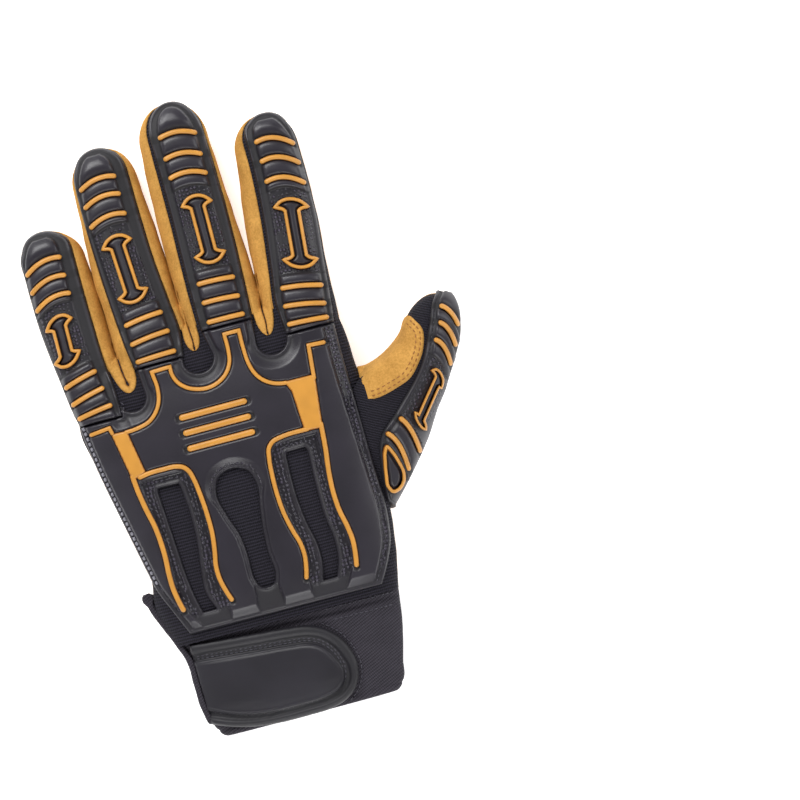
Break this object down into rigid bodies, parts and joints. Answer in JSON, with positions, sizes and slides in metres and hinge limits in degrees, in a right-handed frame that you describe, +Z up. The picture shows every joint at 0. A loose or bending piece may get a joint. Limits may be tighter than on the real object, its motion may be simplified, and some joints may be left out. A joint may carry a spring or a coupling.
{
  "type": "impact resistant work glove",
  "caption": "Left hand work glove lying palm down, with moulded rubber guards and raised orange bars on the back, suede palm and a strapped wrist cuff.",
  "frame": {"origin": "on the ground under the middle of the glove's bounding box", "axes": "+Y along the hand to the fingertips, +X to the thumb side, +Z up from the back of the hand"},
  "size_m": [0.172, 0.2588, 0.0339],
  "materials": {
    "suede": "tan suede, soft short nap",
    "knit": "dark ribbed stretch knit",
    "guard_rubber": "moulded black rubber, satin",
    "orange_rubber": "moulded orange rubber, satin",
    "elastic_twill": "dark twill cuff and woven binding",
    "strap_rubber": "moulded strap patch, matt"
  },
  "bodies": {
    "root": {"palm_panel": "suede", "back_panel": "knit", "fourchette_little_ring": "suede", "fourchette_ring_middle": "suede", "fourchette_middle_index": "suede", "thumb_front": "suede", "thumb_back": "knit", "web_patch": "suede", "knuckle_pad": "suede", "palm_pad_index_side": "suede", "palm_pad_little_side": "suede", "cuff": "elastic_twill", "wrist_strap": "strap_rubber", "strap_binding": "elastic_twill", "hand_guard": "guard_rubber", "hand_guard_lines": "orange_rubber", "back_bar_1": "orange_rubber", "back_bar_2": "orange_rubber", "back_bar_3": "orange_rubber", "finger_guard_little": "guard_rubber", "little_tip_bar_1": "orange_rubber", "little_tip_bar_2": "orange_rubber", "little_tip_bar_3": "orange_rubber", "little_root_bar_1": "orange_rubber", "little_root_bar_2": "orange_rubber", "little_root_bar_3": "orange_rubber", "little_bone": "orange_rubber", "finger_guard_ring": "guard_rubber", "ring_tip_bar_1": "orange_rubber", "ring_tip_bar_2": "orange_rubber", "ring_tip_bar_3": "orange_rubber", "ring_root_bar_1": "orange_rubber", "ring_root_bar_2": "orange_rubber", "ring_root_bar_3": "orange_rubber", "ring_bone": "orange_rubber", "finger_guard_middle": "guard_rubber", "middle_tip_bar_1": "orange_rubber", "middle_tip_bar_2": "orange_rubber", "middle_tip_bar_3": "orange_rubber", "middle_root_bar_1": "orange_rubber", "middle_root_bar_2": "orange_rubber", "middle_root_bar_3": "orange_rubber", "middle_bone": "orange_rubber", "finger_guard_index": "guard_rubber", "index_tip_bar_1": "orange_rubber", "index_tip_bar_2": "orange_rubber", "index_tip_bar_3": "orange_rubber", "index_root_bar_1": "orange_rubber", "index_root_bar_2": "orange_rubber", "index_root_bar_3": "orange_rubber", "index_bone": "orange_rubber", "thumb_guard": "guard_rubber", "thumb_tip_bar_1": "orange_rubber", "thumb_tip_bar_2": "orange_rubber", "thumb_tip_bar_3": "orange_rubber", "thumb_root_bar_1": "orange_rubber", "thumb_root_bar_2": "orange_rubber", "thumb_bone": "orange_rubber", "thumb_teardrop": "orange_rubber"}
  },
  "joints": []
}
